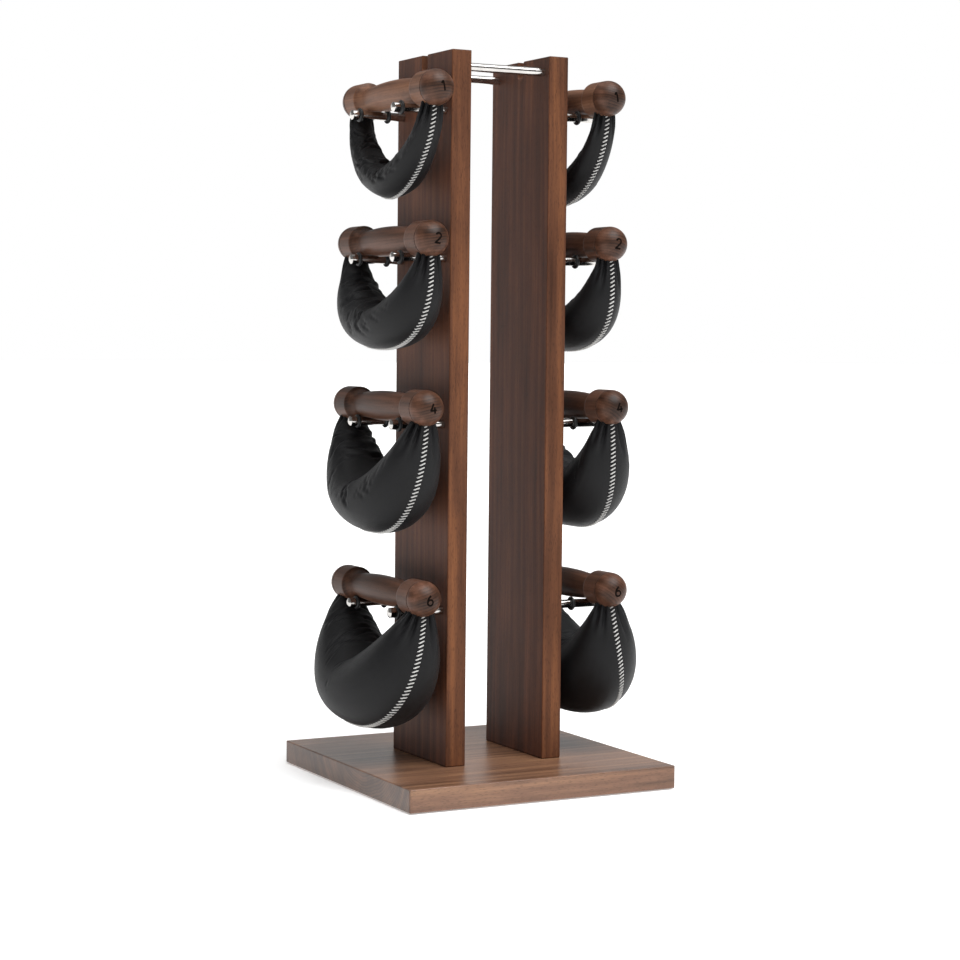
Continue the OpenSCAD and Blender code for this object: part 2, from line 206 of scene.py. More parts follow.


# Oiled American walnut. Growth rings are shells about the tree's heart, which lies outside the board, so
# that long faces get streaks and end grain gets arcs; pores are short dark dashes along the grain. Where
# edge names a second set of colours, the faces that look along Y take it: lighter colours that stand partly
# for the edge grain's own tone and partly for painted light, as if the front and back faces were lit more.
def makeWalnut(name, grainAxis, heart, shades, roughness, gloss, edge=None, fleck=1.0, streak=1.0, rings=1.0):
    material, tree = newMaterial(name)
    source = addNode(tree, "TexCoord")
    place = source.outputs["Object"]
    turn = {"X": (0, math.radians(-90), 0), "Y": (math.radians(90), 0, 0), "Z": (0, 0, 0)}[grainAxis]
    grain = addNode(tree, "Mapping", {"Vector": place, "Location": heart, "Rotation": turn})
    # how squarely a face looks along X, Y or Z, and from that the share of end grain on it
    facing = addNode(tree, "VectorMath", {0: source.outputs["Normal"]}, operation="ABSOLUTE")
    facing = addNode(tree, "SeparateXYZ", {0: facing}).outputs
    endGrain = addNode(tree, "MapRange", {"Value": facing["XYZ".index(grainAxis)], "From Min": 0.6,
                                          "From Max": 0.95})
    calm = addNode(tree, "MapRange", {"Value": endGrain, "To Min": 1.0, "To Max": 0.25})
    # slow wander of the whole figure
    wander = addNode(tree, "Mapping", {"Vector": grain, "Scale": (9, 9, 1.6)})
    drift = addNode(tree, "TexNoise", {"Vector": wander, "Scale": 1.0, "Detail": 3.0})
    centred = addNode(tree, "VectorMath", {0: drift.outputs["Color"], 1: (0.5, 0.5, 0.5)},
                      operation="SUBTRACT")
    sway = (walnut["sway"], walnut["sway"], 0)
    shifted = addNode(tree, "VectorMath", {0: centred, 1: sway, 2: grain},
                      operation="MULTIPLY_ADD")
    flat = addNode(tree, "VectorMath", {0: shifted, 1: (1, 1, 0)}, operation="MULTIPLY")
    distance = addNode(tree, "VectorMath", {0: flat}, operation="LENGTH").outputs["Value"]
    years = addNode(tree, "Math", {0: distance, 1: 1 / walnut["ringPitch"]},
                    operation="MULTIPLY")
    # the years differ in width and depth of colour
    uneven = addNode(tree, "TexNoise", {"W": years, "Scale": 0.37, "Detail": 3.0},
                     noise_dimensions="1D")
    season = addNode(tree, "Math", {0: years}, operation="FRACT")
    lateWood = addNode(tree, "ValToRGB", {"Fac": season},
                       stops=[(0.0, 0.2), (0.5, 0.4), (0.84, 0.85), (0.95, 1.0), (1.0, 0.2)])
    # fibres, broad streaks along the grain, and clouds where the board took more or less oil
    fibreScale = 1 / walnut["fibreWidth"]
    fibreMap = addNode(tree, "Mapping",
                       {"Vector": grain, "Scale": (fibreScale, fibreScale, fibreScale / walnut["stretch"])})
    fibre = addNode(tree, "TexNoise", {"Vector": fibreMap, "Scale": 1.0, "Detail": 3.0})
    streakMap = addNode(tree, "Mapping", {"Vector": shifted, "Scale": (120, 120, 2.6)})
    streaks = addNode(tree, "TexNoise", {"Vector": streakMap, "Scale": 1.0, "Detail": 5.0})
    cloudMap = addNode(tree, "Mapping", {"Vector": grain, "Scale": (26, 26, 7)})
    clouds = addNode(tree, "TexNoise", {"Vector": cloudMap, "Scale": 1.0, "Detail": 5.0})
    # mixture = the middle + weighted departures of each layer from the middle
    mixture = walnut["middle"]
    for layer, share in ((uneven, 0.5 * rings), (streaks, 1.1 * streak), (clouds, 0.55), (fibre, 0.3)):
        offset = addNode(tree, "Math", {0: layer, 1: walnut["middle"]}, operation="SUBTRACT")
        if layer is streaks:
            offset = addNode(tree, "Math", {0: offset, 1: calm}, operation="MULTIPLY")
        mixture = addNode(tree, "Math", {0: offset, 1: share, 2: mixture},
                          operation="MULTIPLY_ADD")
    ringDepth = addNode(tree, "MapRange", {"Value": endGrain, "To Min": -0.13 * rings,
                                           "To Max": -0.34 * rings})
    mixture = addNode(tree, "Math", {0: lateWood, 1: ringDepth, 2: mixture},
                      operation="MULTIPLY_ADD")
    mixture = addNode(tree, "Math", {0: mixture, 1: 0.07 * rings}, operation="ADD")
    # end grain drinks more oil and goes darker
    mixture = addNode(tree, "Math", {0: endGrain, 1: -0.15, 2: mixture},
                      operation="MULTIPLY_ADD")

    def shade(colours):
        stops = list(zip(walnut["stops"], colours))
        return addNode(tree, "ValToRGB", {"Fac": mixture}, stops=stops)
    colour = shade(walnut[shades])
    # faces looking along Y take the lighter set: partly edge grain, partly painted light on those faces
    if edge:
        colour = addNode(tree, "Mix", {"Factor": facing[1], 6: colour, 7: shade(walnut[edge])},
                         data_type="RGBA").outputs[2]
    # pores
    poreScale = (1 / walnut["poreWidth"], 1 / walnut["poreWidth"], 1 / walnut["poreLength"])
    poreMap = addNode(tree, "Mapping", {"Vector": grain, "Scale": poreScale})
    pores = addNode(tree, "TexVoronoi", {"Vector": poreMap, "Scale": 0.55, "Randomness": 1.0},
                    feature="F1").outputs["Distance"]
    poreDepth = addNode(tree, "ValToRGB", {"Fac": pores}, stops=[(0.16, 1.0), (0.3, 0.0)])
    poreShare = addNode(tree, "Math", {0: poreDepth, 1: 0.55 * fleck}, operation="MULTIPLY")
    stained = addNode(tree, "Mix", {"Factor": poreShare, 6: colour, 7: toLinear(walnut["pore"])},
                      data_type="RGBA").outputs[2]
    height = addNode(tree, "Math", {0: poreDepth, 1: -0.7, 2: fibre}, operation="MULTIPLY_ADD")
    bump = addNode(tree, "Bump", {"Height": height, "Strength": 0.22, "Distance": 0.0004})
    matt = addNode(tree, "MapRange", {"Value": fibre, "To Min": roughness - 0.07,
                                      "To Max": roughness + 0.1})
    shader = addNode(tree, "BsdfPrincipled", {"Base Color": stained, "Roughness": matt, "Normal": bump,
                                              "IOR": 1.48, "Specular IOR Level": gloss})
    finishMaterial(tree, shader)
    return material


# Drawn or turned metal, polished: bright and clear, with faint lines across one axis and a little wear.
def makeSteel(name, colour, roughness, lineAxis):
    material, tree = newMaterial(name)
    place = addNode(tree, "TexCoord").outputs["Object"]
    scale = [30.0, 30.0, 30.0]
    scale[lineAxis] = 1500.0
    lines = addNode(tree, "Mapping", {"Vector": place, "Scale": scale})
    drawn = addNode(tree, "TexNoise", {"Vector": lines, "Scale": 1.0, "Detail": 2.0})
    wear = addNode(tree, "TexNoise", {"Vector": place, "Scale": 90.0, "Detail": 3.0})
    both = addNode(tree, "Math", {0: drawn, 1: wear}, operation="MULTIPLY")
    rough = addNode(tree, "MapRange", {"Value": both, "To Min": roughness * 0.8,
                                       "To Max": roughness * 1.5})
    tint = addNode(tree, "Mix", {"Factor": wear, 6: toLinear(colour), 7: toLinear("#e9e6e2")},
                   data_type="RGBA").outputs[2]
    bump = addNode(tree, "Bump", {"Height": drawn, "Strength": 0.02, "Distance": 0.00005})
    shader = addNode(tree, "BsdfPrincipled", {"Base Color": tint, "Metallic": 1.0, "Roughness": rough,
                                              "Normal": bump})
    finishMaterial(tree, shader)
    return material


# Moulded nitrile rubber: a dull black with a dusty bloom and a fine moulded texture.
def makeRubber(name, roughness):
    material, tree = newMaterial(name)
    place = addNode(tree, "TexCoord").outputs["Object"]
    grit = addNode(tree, "TexNoise", {"Vector": place, "Scale": 2400.0, "Detail": 2.0})
    bloom = addNode(tree, "TexNoise", {"Vector": place, "Scale": 160.0, "Detail": 4.0})
    colour = addNode(tree, "ValToRGB", {"Fac": bloom}, stops=[(0.3, "#0c0c0d"), (0.75, "#1d1d1e")])
    bump = addNode(tree, "Bump", {"Height": grit, "Strength": 0.25, "Distance": 0.0002})
    shader = addNode(tree, "BsdfPrincipled", {"Base Color": colour, "Roughness": roughness, "Normal": bump,
                                              "IOR": 1.52, "Specular IOR Level": 0.4})
    finishMaterial(tree, shader)
    return material


leather = {
    "face": "#0c0c0e",
    "worn": "#151517",
    "grainSize": 1.0 * mm,     # width of one pebble of the grain
    "roughness": 0.52,
}


# Black semi-aniline cowhide, drum dyed and lightly waxed: a pebbled grain between fine creases, and a soft
# sheen.
def makeLeather():
    material, tree = newMaterial("blackLeather")
    place = addNode(tree, "TexCoord").outputs["Object"]
    warp = addNode(tree, "TexNoise", {"Vector": place, "Scale": 260.0, "Detail": 3.0}).outputs["Color"]
    bent = addNode(tree, "VectorMath", {0: warp, 1: (0.002, 0.002, 0.002), 2: place},
                   operation="MULTIPLY_ADD")
    cells = addNode(tree, "TexVoronoi", {"Vector": bent, "Scale": 1 / leather["grainSize"]},
                    feature="DISTANCE_TO_EDGE").outputs["Distance"]
    pebble = addNode(tree, "ValToRGB", {"Fac": cells}, stops=[(0.0, 0.0), (0.22, 1.0)])
    patches = addNode(tree, "TexNoise", {"Vector": place, "Scale": 34.0, "Detail": 4.0})
    fine = addNode(tree, "TexNoise", {"Vector": place, "Scale": 2200.0, "Detail": 3.0})
    colour = addNode(tree, "ValToRGB", {"Fac": patches},
                     stops=[(0.3, leather["face"]), (0.72, leather["worn"])])
    # the creases between the pebbles are made darker: painted shade in the grain's valleys
    shaded = addNode(tree, "Mix", {"Factor": 0.35, 6: colour, 7: pebble}, data_type="RGBA",
                     blend_type="MULTIPLY").outputs[2]
    height = addNode(tree, "Math", {0: fine, 1: 0.35, 2: pebble}, operation="MULTIPLY_ADD")
    bump = addNode(tree, "Bump", {"Height": height, "Strength": 0.22, "Distance": 0.00025})
    rough = addNode(tree, "MapRange", {"Value": patches, "To Min": leather["roughness"] - 0.06,
                                       "To Max": leather["roughness"] + 0.08})
    shader = addNode(tree, "BsdfPrincipled", {
        "Base Color": shaded, "Roughness": rough, "Normal": bump, "IOR": 1.5, "Specular IOR Level": 0.24,
        "Sheen Weight": 0.02, "Sheen Roughness": 0.5})
    finishMaterial(tree, shader)
    return material


# Waxed polyester thread, thick and twisted: off-white, with a slanted line of painted shade at each turn of
# the plies.
def makeThread():
    material, tree = newMaterial("waxedThread")
    place = addNode(tree, "TexCoord").outputs["Object"]
    turn = addNode(tree, "Mapping", {"Vector": place, "Rotation": (0, math.radians(40), 0)})
    ply = addNode(tree, "TexWave", {"Vector": turn, "Scale": 420.0, "Distortion": 0.8},
                  bands_direction="X").outputs["Fac"]
    # darker where the plies dip: painted shade in the grooves between them
    colour = addNode(tree, "ValToRGB", {"Fac": ply}, stops=[(0.1, "#a9a8a6"), (0.6, "#dbdad7")])
    bump = addNode(tree, "Bump", {"Height": ply, "Strength": 0.4, "Distance": 0.0002})
    shader = addNode(tree, "BsdfPrincipled", {"Base Color": colour, "Roughness": 0.55, "Normal": bump,
                                              "IOR": 1.5})
    finishMaterial(tree, shader)
    return material


# Wood burnt with a hot iron: charred brown-black, dull, and a little uneven where the iron bit less.
def makeCharred():
    material, tree = newMaterial("burntWood")
    place = addNode(tree, "TexCoord").outputs["Object"]
    bite = addNode(tree, "TexNoise", {"Vector": place, "Scale": 900.0, "Detail": 3.0})
    colour = addNode(tree, "ValToRGB", {"Fac": bite}, stops=[(0.35, "#080605"), (0.8, "#1c130e")])
    bump = addNode(tree, "Bump", {"Height": bite, "Strength": 0.4, "Distance": 0.0002})
    shader = addNode(tree, "BsdfPrincipled", {"Base Color": colour, "Roughness": 0.9, "Normal": bump,
                                              "Specular IOR Level": 0.05})
    finishMaterial(tree, shader)
    return material


# Beech dowel rod: pale pinkish tan with short darker ray flecks along the grain.
def makeBeech():
    material, tree = newMaterial("beech")
    place = addNode(tree, "TexCoord").outputs["Object"]
    along = addNode(tree, "Mapping", {"Vector": place, "Scale": (1800, 1800, 260)})
    rays = addNode(tree, "TexNoise", {"Vector": along, "Scale": 1.0, "Detail": 2.0})
    colour = addNode(tree, "ValToRGB", {"Fac": rays}, stops=[(0.3, "#a97f57"), (0.7, "#cfa77a")])
    bump = addNode(tree, "Bump", {"Height": rays, "Strength": 0.2, "Distance": 0.0002})
    shader = addNode(tree, "BsdfPrincipled", {"Base Color": colour, "Roughness": 0.6, "Normal": bump})
    finishMaterial(tree, shader)
    return material


uprightWalnut = makeWalnut("oiledWalnutUpright", "Z", (0.16, 0.31, 0.0), "upright", 0.55, 0.2,
                           edge="uprightEdgeAndPaintedLight", streak=0.6, rings=0.35)
baseWalnut = makeWalnut("oiledWalnutBase", "X", (0.09, 0.05, 0.0), "base", 0.34, 0.7, streak=0.65, rings=0.6)
gripWalnut = makeWalnut("turnedWalnutGrip", "Y", (0.02, 0.06, 0.0), "turned", 0.42, 0.22,
                        fleck=0.8, streak=0.7, rings=0.7)
paleGripWalnut = makeWalnut("turnedWalnutPaleGrip", "Y", (0.035, 0.07, 0.0), "turnedPale", 0.42, 0.22,
                            fleck=0.8, streak=0.7, rings=0.7)
capWalnut = makeWalnut("turnedWalnutCap", "Y", (0.051, 0.035, 0.0), "turned", 0.38, 0.28,
                       fleck=0.8, streak=0.8)
polishedSteel = makeSteel("polishedStainless", "#a8a5a2", 0.14, 0)
zincSteel = makeSteel("zincPlatedSteel", "#b8babb", 0.3, 2)
brass = makeSteel("turnedBrass", "#b5943f", 0.25, 2)
ringRubber = makeRubber("nitrileRing", 0.42)
padRubber = makeRubber("padRubber", 0.7)
blackLeather = makeLeather()
thread = makeThread()
charred = makeCharred()
beech = makeBeech()
print("finishes made")


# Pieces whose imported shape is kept
def finishNode(name, material):
    nodes[name].data.materials.clear()
    nodes[name].data.materials.append(material)


finishNode("base_board", baseWalnut)
finishNode("left_upright", uprightWalnut)
finishNode("right_upright", uprightWalnut)
finishNode("base_pads", padRubber)
finishNode("base_screws", zincSteel)
finishNode("thread_inserts", brass)
finishNode("locating_dowels", beech)
for side in sides:
    for tier in tiers:
        finishNode(f"{side}_{tier}_cap_screws", zincSteel)
print("boards and fixings finished")


rods = {"segments": 64, "chamfer": 0.6 * mm}


# A plain round bar with small chamfers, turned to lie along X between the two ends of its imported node
def makeRod(name):
    low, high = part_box(name)
    radius = (high.z - low.z) / 2
    start, end, chamfer = low.x, high.x, rods["chamfer"]
    profile = np.array([(0, start), (radius - chamfer, start), (radius, start + chamfer),
                        (radius, end - chamfer), (radius - chamfer, end), (0, end)])
    points, quads, triangles = turned(profile, rods["segments"])
    points = points[:, [1, 0, 2]] * (1, -1, 1) + (0, (low.y + high.y) / 2, (low.z + high.z) / 2)
    piece = makeMesh(name + "_bar", outwardShell(points, quads, triangles), 35)
    finishPiece(piece, polishedSteel, "rack", [name])


for name in ("front_tie_rod", "rear_tie_rod"):
    makeRod(name)

pegs = {
    "radius": 5 * mm,
    "bite": 18 * mm,           # length inside the upright
    "reach": 69 * mm,          # length outside it
    "beadRadius": 6 * mm,
    "beadLength": 9.5 * mm,
    "edge": 0.7 * mm,          # small rounding on the bead's shoulder
    "nose": 1.4,               # radius of the rounded end as a share of the bead's
    "grooveDepth": 0.8 * mm,
    "innerRing": 21 * mm,
    "outerRing": 57 * mm,
    "ringWire": 4 * mm,
    "segments": 56,
    "ringRows": 40,            # points along a ring and round its wire
    "ringColumns": 18,
}


# Half outline of a peg as (radius, distance from the upright's face): a bar with two round-bottomed grooves,
# then a bead whose end is part of a sphere.
def pegProfile():
    p = pegs
    wire = p["ringWire"] / 2
    centre = p["radius"] - p["grooveDepth"] + wire
    halfAngle = math.degrees(math.acos((centre - p["radius"]) / wire))
    parts = [[(0, -p["bite"])], [(p["radius"], -p["bite"])]]
    for place in (p["innerRing"], p["outerRing"]):
        parts.append(arc((centre, place), wire, 180 + halfAngle, 180 - halfAngle, 9))
    beadStart, edge = p["reach"] - p["beadLength"], p["edge"]
    noseRadius = p["nose"] * p["beadRadius"]
    noseCentre = p["reach"] - noseRadius
    noseAngle = math.degrees(math.acos((p["beadRadius"] - 0.4 * edge) / noseRadius))
    parts.append([(p["radius"], beadStart)])
    parts.append(arc((p["beadRadius"] - edge, beadStart + edge), edge, -90, 0, 6))
    parts.append(arc((0, noseCentre), noseRadius, noseAngle, 90, 18))
    profile = np.concatenate([np.array(part, float) for part in parts])
    profile[-1, 0] = 0
    return profile


# A rubber ring is a torus about Y: the circle of its wire's section is carried round the groove.
def makeRingShell():
    p = pegs
    rows, columns, wire = p["ringRows"], p["ringColumns"], p["ringWire"] / 2
    wireAngle = np.linspace(0, 2 * np.pi, columns, endpoint=False)
    ringAngle = np.linspace(0, 2 * np.pi, rows, endpoint=False)
    radius = p["radius"] - p["grooveDepth"] + wire + wire * np.cos(wireAngle)
    points = np.stack([np.cos(ringAngle)[:, None] * radius,
                       np.broadcast_to(wire * np.sin(wireAngle), (rows, columns)),
                       np.sin(ringAngle)[:, None] * radius], -1).reshape(-1, 3)
    return outwardShell(points, gridQuads(rows + 1, columns) % len(points), np.zeros((0, 3), int))


# Puts a shell whose axis is Y on the pegs: along X away from the upright, on the side and at the place given.
def onPeg(shell, sign, face, y, z, shift=0.0):
    points = (shell[0] + (0, shift, 0))[:, [1, 0, 2]] * (sign, 1, 1) + (sign * face, y, z)
    return outwardShell(points, shell[1], shell[2])


pegShell = turned(pegProfile(), pegs["segments"])
ringShell = makeRingShell()
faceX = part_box("right_upright")[1].x                # the outer face of an upright
pegPlaces = {}
for tier in tiers:
    low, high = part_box(tier + "_pegs")
    half = (high.y - low.y) / 2 - pegs["beadRadius"]
    height = (low.z + high.z) / 2
    pegPlaces[tier] = [(sign, faceX, front * half, height) for sign in (-1, 1) for front in (-1, 1)]
    shell = joinShells([onPeg(pegShell, *place) for place in pegPlaces[tier]])
    piece = makeMesh(tier + "_peg_bars", shell, 40)
    finishPiece(piece, polishedSteel, "rack", [tier + "_pegs"])
for name, shift in (("inner_peg_rings", pegs["innerRing"]), ("outer_peg_rings", pegs["outerRing"])):
    shell = joinShells([onPeg(ringShell, *place, shift) for tier in tiers for place in pegPlaces[tier]])
    finishPiece(makeMesh(name + "_moulded", shell), ringRubber, "rack", [name])
print("rods, pegs and rings made")


handles = {
    "knobRadius": 20.5 * mm,
    "gripRadius": 17.25 * mm,
    "waistRadius": 13.75 * mm,
    "coveStart": 62 * mm,
    "coveRadius": 13 * mm,
    "joint": 100 * mm,         # where the cap meets the handle
    "chamfer": 0.75 * mm,
    "jointGap": 0.3 * mm,      # each side stops this short of the joint, which leaves a dark line
    "arris": (0.25 * mm, 0.35 * mm),  # drop and run of the softened edge where the hollow meets the knob
    "segments": 112,
}


# Half outline of a handle: one long arc for the grip, a hollow up to the knob, a straight knob with softened
# edges, and a chamfer at the joint.
def handleProfile():
    h = handles
    rise = h["gripRadius"] - h["waistRadius"]
    bow = (h["coveStart"] ** 2 + rise ** 2) / (2 * rise)
    along = np.linspace(0, h["coveStart"], 26)
    grip = np.stack([h["gripRadius"] - bow + np.sqrt(bow ** 2 - along ** 2), along], -1)
    turn = math.degrees(math.acos(1 - (h["knobRadius"] - h["waistRadius"]) / h["coveRadius"]))
    cove = arc((h["waistRadius"] + h["coveRadius"], h["coveStart"]), h["coveRadius"], 180, 180 - turn, 16)[1:]
    drop, run = h["arris"]
    cove[-1, 0] -= drop
    edge = [(h["knobRadius"], cove[-1, 1] + run)]
    straight = [(h["knobRadius"], y) for y in np.linspace(cove[-1, 1] + 2 * mm, h["joint"] - h["chamfer"], 8)]
    back = h["joint"] - h["jointGap"]
    end = [(h["knobRadius"] - h["chamfer"], back), (0, back)]
    half = np.concatenate([grip, cove, edge, straight, end])
    return np.concatenate([half[:0:-1] * (1, -1), half])


# Outline of a cap: a half ball with a chamfer where it meets the handle
def capProfile():
    h = handles
    start = h["joint"] + h["jointGap"]
    first = math.degrees(math.asin(h["chamfer"] / h["knobRadius"]))
    dome = arc((0, h["joint"]), h["knobRadius"], first, 90, 40)
    dome[-1, 0] = 0
    return np.concatenate([[(0, start), (h["knobRadius"] - h["chamfer"], start)], dome])


handleShell = turned(handleProfile(), handles["segments"])
capShell = turned(capProfile(), handles["segments"])
frontCap = outwardShell(capShell[0] * (1, -1, 1), capShell[1], capShell[2])

numerals = {
    "height": 11.2 * mm,
    "width": 2.1 * mm,         # width of the burnt line
    "depth": 0.35 * mm,        # how far the strip reaches into the cap
    "proud": 0.04 * mm,        # how far it stands out of the cap, so that it shows
    "tilt": {"top": 12, "upper": -6, "lower": 8, "bottom": -4},    # degrees
    "digit": {"top": 1, "upper": 2, "lower": 4, "bottom": 6},
}


# The strokes of a numeral as centre lines in a box one unit high, with its middle at the origin
def strokesOf(digit):
    def line(*corners):
        corners = np.array(corners, float)
        pieces = [np.linspace(a, b, 12)[:-1] for a, b in zip(corners[:-1], corners[1:])]
        return np.concatenate(pieces + [corners[-1:]])
    if digit == 1:
        return [line((-0.2, 0.28), (0.04, 0.5), (0.04, -0.5))]
    if digit == 2:
        hook = arc((0, 0.23), 0.27, 165, -38, 22)
        return [np.concatenate([hook, line(hook[-1], (-0.28, -0.5), (0.3, -0.5))[1:]])]
    if digit == 4:
        return [line((0.1, 0.5), (-0.3, -0.18), (0.34, -0.18)), line((0.14, 0.16), (0.14, -0.5))]
    bowl = arc((0, -0.21), 0.29, 150, 510, 40)
    tail = arc((0.42, -0.12), 0.71, 122, 176, 14)
    return [bowl, tail]


# A flat-topped strip along each stroke, laid on the cap's ball: a point at distance d from the pole of a
# ball of radius R sits the square root of R*R - d*d in front of the ball's middle.
def numeralShell(digit, tilt):
    n, h = numerals, handles
    shells = []
    for stroke in strokesOf(digit):
        line = stroke * n["height"]
        step = np.gradient(line, axis=0)
        step /= np.linalg.norm(step, axis=1)[:, None]
        across = np.stack([-step[:, 1], step[:, 0]], -1)
        offsets = np.array([-0.5, -0.5, 0, 0.5, 0.5, 0]) * n["width"]
        levels = np.array([-n["depth"], n["proud"], n["proud"], n["proud"], -n["depth"], -n["depth"]])
        flat = line[:, None] + across[:, None] * offsets[None, :, None]
        angle = math.radians(tilt)
        flat = flat @ np.array([[math.cos(angle), math.sin(angle)], [-math.sin(angle), math.cos(angle)]])
        reach = h["knobRadius"] + levels[None, :]
        depth = np.sqrt(np.maximum(reach ** 2 - (flat ** 2).sum(-1), 0))
        rings = np.stack([flat[..., 0], -depth, flat[..., 1]], -1)
        shells.append(outwardShell(*tubeShell(rings)))
    points, quads, triangles = joinShells(shells)
    return points + (0, -h["joint"], 0), quads, triangles


centres = {}
for side in sides:
    for tier in tiers:
        name = f"{side}_{tier}"
        body = name + "_dumbbell"
        low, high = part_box(name + "_handle")
        centre = np.array((low + high) / 2)
        centres[name] = centre
        piece = makeMesh(name + "_grip", (handleShell[0] + centre, *handleShell[1:]), 38)
        wood = paleGripWalnut if tier == "top" else gripWalnut
        finishPiece(piece, wood, body, [name + "_handle"])
        caps = joinShells([(frontCap[0] + centre, *frontCap[1:]), (capShell[0] + centre, *capShell[1:])])
        piece = makeMesh(name + "_domed_caps", caps, 38)
        finishPiece(piece, capWalnut, body, [name + "_end_caps"])
        mark = numeralShell(numerals["digit"][tier], numerals["tilt"][tier])
        piece = makeMesh(name + "_burnt_numeral", (mark[0] + centre, *mark[1:]), 40)
        finishPiece(piece, charred, body)
print("handles, caps and numerals made")


bags = {
    "shoulder": 10 * mm,       # how far below the handle's axis the bag starts to widen, inside the knob
    "neckTop": 6 * mm,
    "neckRadius": 11.5 * mm,
    "neckRows": 3,             # rings of the straight part of a neck
    "innerReach": 86.5 * mm,   # from the middle to the inside of a neck
    "coarse": (84, 44),        # rings along and points round for the cloth
    "fine": (300, 132),        # the same for the finished leather
    "frames": 20,
    # Blender's settings of the cloth: a light, supple sheet with air inside
    "cloth": {"quality": 6, "mass": 0.04, "tension_stiffness": 15, "compression_stiffness": 5,
              "shear_stiffness": 5, "bending_stiffness": 0.3, "use_pressure": True,
              "uniform_pressure_force": 30.0, "vertex_group_mass": "necks"},
    "cap": 3.5 * mm,           # how far the cloth may move a point
    "heldRows": 5,             # rings held still at each neck
    "fadeRows": 16,            # rings over which the cloth's movement then comes in
    "pleatDepth": 4.2 * mm,
    # each pleat: degrees round from the seam, share of the depth, half width in degrees, length in mm
    "pleats": ((30, 0.8, 8, 34), (-34, 0.9, 9, 38), (66, 1.0, 10, 46), (-72, 0.7, 10, 34), (112, 0.6, 12, 30),
               (-118, 0.6, 12, 30), (160, 0.5, 12, 26), (-158, 0.5, 12, 26)),
    "pleatFan": 16,            # degrees by which the pleats spread apart
    "pleatFanLength": 40 * mm,  # and the length over which they do
    "wrinkleDepth": 2.2 * mm,
    "wrinkles": 12,
    "seamDepth": 0.9 * mm,
    "seamWidth": 2.2,          # degrees round
    "clearance": 0.6 * mm,     # gap left between a bag and its upright
    "flatten": 1.0 * mm,       # how gently the leather turns flat there
}
# Lengths in millimetres: reach is from the middle to the outside of a neck, half is half the thickness at the
# bottom, lean is how far the bottom hangs out, and keel is the share by which the section narrows towards
# the outer rim. seamTurn is in degrees round from the outer rim. The powers shape the outer rim, the inner
# rim and the swelling of the section.
bagSizes = {
    "top": {"reach": 98.5, "depth": 108.5, "eye": 76, "half": 27.5, "lean": 5.5, "swell": 9,
            "keel": 0.28, "seamTurn": 0, "powers": (1.71, 1.8, 1.15)},
    "upper": {"reach": 104, "depth": 114.5, "eye": 69, "half": 39.5, "lean": 5.5, "swell": 11.5,
              "keel": 0.23, "seamTurn": 8, "powers": (2.5, 1.6, 1.08)},
    "lower": {"reach": 104, "depth": 137.5, "eye": 74.5, "half": 49.5, "lean": 8.5, "swell": 2.5,
              "keel": 0.26, "seamTurn": 12, "powers": (2.6, 1.4, 0.8)},
    "bottom": {"reach": 104.5, "depth": 150, "eye": 68, "half": 58.5, "lean": 15, "swell": 13.5,
               "keel": 0.14, "seamTurn": 25, "powers": (2.4, 1.2, 0.9)},
}
# The dumbbells on the right hang a little closer in, and their own way
rightBags = {
    "top": {"half": 25.5, "lean": -0.5},
    "upper": {"half": 36, "lean": -0.5},
    "lower": {"half": 48.5, "lean": 8, "seamTurn": 6},
    "bottom": {"half": 57.5, "lean": 15},
}


# A bag in its own frame: the handle's axis lies on Y at the origin, and +X points away from the rack. Each
# rim is a superellipse hung between the necks, at the angle f from straight down. The section at f is an
# ellipse drawn between the two rims and narrowed by the keel, and a turns round it from the seam.
def bagRings(size, f, a):
    b = bags
    outerPower, innerPower, swellPower = size["powers"]
    sine, cosine = np.sin(f), np.abs(np.cos(f))

    def rim(reach, depth, power, swell):
        across = np.sign(sine) * (reach * np.abs(sine) ** (2 / power) + 2 * swell * np.abs(sine) * cosine)
        return np.stack([across, -b["shoulder"] - depth * cosine ** (2 / power)], -1)
    low = rim(size["reach"] * mm, size["depth"] * mm, outerPower, size["swell"] * mm)
    high = rim(b["innerReach"], size["eye"] * mm, innerPower, 0)
    middle, reach = (low + high) / 2, (low - high) / 2
    half = b["neckRadius"] + (size["half"] * mm - b["neckRadius"]) * cosine ** swellPower
    around = a[None] + math.radians(size["seamTurn"]) * cosine[:, None]
    section = middle[:, None] + reach[:, None] * np.cos(around)[..., None]
    keel = size["keel"] * cosine[:, None]
    x = size["lean"] * mm * cosine[:, None] + half[:, None] * np.sin(around) * (1 - keel * np.cos(around))
    return np.concatenate([x[..., None], section], -1)


# Rings of the whole bag: the necks run straight up into the knobs at both ends.
def wholeBag(size, along, around):
    a = np.linspace(0, 2 * np.pi, around, endpoint=False)
    neckRows = bags["neckRows"]
    f = np.radians(np.linspace(-90, 90, along - 2 * neckRows))
    rings = bagRings(size, f, a)
    lift = (bags["shoulder"] - bags["neckTop"]) * np.linspace(1, 1 / neckRows, neckRows)
    rise = np.stack([0 * lift, 0 * lift, lift], -1)[:, None]
    return np.concatenate([rings[0] + rise, rings, rings[-1] + rise[::-1]])


